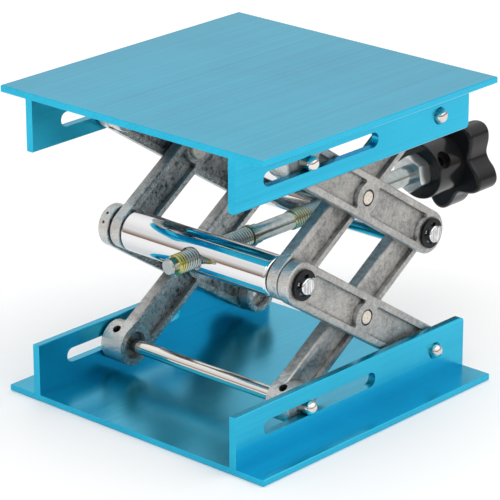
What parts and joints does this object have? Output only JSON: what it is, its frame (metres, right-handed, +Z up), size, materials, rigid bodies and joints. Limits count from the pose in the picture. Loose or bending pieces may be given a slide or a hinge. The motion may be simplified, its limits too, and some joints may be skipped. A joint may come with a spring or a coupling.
{
  "type": "lab jack",
  "caption": "Scissor lab jack: a square flanged base and table joined by crossed cast arms, raised and lowered by a knob on a threaded spindle between cross bars.",
  "frame": {"origin": "centre of the base plate's underside", "axes": "+Z up through the table, +Y along the spindle towards the knob, +X to the right seen from the knob-free front"},
  "size_m": [0.1, 0.1482, 0.0941],
  "materials": {
    "blue_plate": "blue anodised extrusion",
    "cast_arm": "grey die casting, satin",
    "bright_bar": "polished plating",
    "pin_steel": "turned steel",
    "black_ring": "black oxide spring steel",
    "zinc_steel": "bright zinc plated",
    "ring_steel": "dull spring steel",
    "screw_steel": "black oxide",
    "insert_brass": "turned brass",
    "black_knob": "glossy black moulding"
  },
  "bodies": {
    "base": {"base_plate": "blue_plate"},
    "lower_outer_arms": {"lower_outer_arm_left": "cast_arm", "lower_outer_arm_right": "cast_arm", "lower_rear_pin_left": "pin_steel", "lower_rear_pin_right": "pin_steel", "lower_pin_set_screws": "screw_steel", "lower_centre_rivet_left": "pin_steel", "lower_centre_rivet_right": "pin_steel"},
    "lower_inner_arms": {"lower_inner_arm_left": "cast_arm", "lower_inner_arm_right": "cast_arm", "lower_slide_rod": "bright_bar", "lower_rod_set_screws": "screw_steel"},
    "upper_inner_arms": {"upper_inner_arm_left": "cast_arm", "upper_inner_arm_right": "cast_arm", "upper_rear_pin_left": "pin_steel", "upper_rear_pin_right": "pin_steel", "upper_pin_set_screws": "screw_steel", "upper_centre_rivet_left": "pin_steel", "upper_centre_rivet_right": "pin_steel"},
    "upper_outer_arms": {"upper_outer_arm_left": "cast_arm", "upper_outer_arm_right": "cast_arm", "upper_slide_rod": "bright_bar", "upper_rod_set_screws": "screw_steel"},
    "table": {"top_plate": "blue_plate"},
    "front_bar": {"front_cross_bar": "bright_bar", "front_retaining_ring_left": "black_ring", "front_retaining_ring_right": "black_ring"},
    "rear_bar": {"rear_cross_bar": "bright_bar", "rear_retaining_ring_left": "black_ring", "rear_retaining_ring_right": "black_ring"},
    "stop_ring": {"spindle_stop_ring": "ring_steel"},
    "spindle": {"spindle": "zinc_steel", "knob_lock_nut": "zinc_steel", "knob": "black_knob", "knob_insert": "insert_brass", "knob_set_screw": "screw_steel"}
  },
  "joints": [
    {"name": "lift", "type": "hinge", "parent": "base", "child": "lower_outer_arms", "pos_m": [0, 0.0367, 0.0107], "axis": [-1, 0, 0], "range_deg": [-21.5, 27.4]},
    {"name": "lower_crossing", "type": "hinge", "parent": "lower_outer_arms", "child": "lower_inner_arms", "pos_m": [0, 0.00873, 0.02886], "axis": [1, 0, 0], "range_deg": [-43, 54.8]},
    {"name": "front_elbow", "type": "hinge", "parent": "lower_outer_arms", "child": "upper_inner_arms", "pos_m": [0, -0.01924, 0.04703], "axis": [1, 0, 0], "range_deg": [-43, 54.8]},
    {"name": "rear_elbow", "type": "hinge", "parent": "lower_inner_arms", "child": "upper_outer_arms", "pos_m": [0, 0.0367, 0.04703], "axis": [-1, 0, 0], "range_deg": [-43, 54.8]},
    {"name": "table_pivot", "type": "hinge", "parent": "upper_inner_arms", "child": "table", "pos_m": [0, 0.0367, 0.08335], "axis": [-1, 0, 0], "range_deg": [-21.5, 27.4]},
    {"name": "front_bar_swivel", "type": "hinge", "parent": "lower_outer_arms", "child": "front_bar", "pos_m": [0, -0.01924, 0.04703], "axis": [1, 0, 0], "range_deg": [-21.5, 27.4]},
    {"name": "rear_bar_swivel", "type": "hinge", "parent": "lower_inner_arms", "child": "rear_bar", "pos_m": [0, 0.0367, 0.04703], "axis": [-1, 0, 0], "range_deg": [-21.5, 27.4]},
    {"name": "spindle_travel", "type": "slide", "parent": "rear_bar", "child": "stop_ring", "axis": [0, 1, 0], "range_m": [-0.00903, 0.01151]},
    {"name": "knob_turn", "type": "hinge", "parent": "stop_ring", "child": "spindle", "pos_m": [0, 0, 0.04703], "axis": [0, -1, 0], "range_deg": [-3248, 4139]}
  ],
  "couplings": [
    {"joint": "lower_crossing", "follows": "lift", "ratio": 2},
    {"joint": "front_elbow", "follows": "lift", "ratio": 2},
    {"joint": "rear_elbow", "follows": "lift", "ratio": 2},
    {"joint": "table_pivot", "follows": "lift", "ratio": 1},
    {"joint": "front_bar_swivel", "follows": "lift", "ratio": 1},
    {"joint": "rear_bar_swivel", "follows": "lift", "ratio": 1},
    {"joint": "spindle_travel", "follows": "lift", "m_per_rad": 0.024041},
    {"joint": "knob_turn", "follows": "lift", "ratio": 151.05}
  ]
}
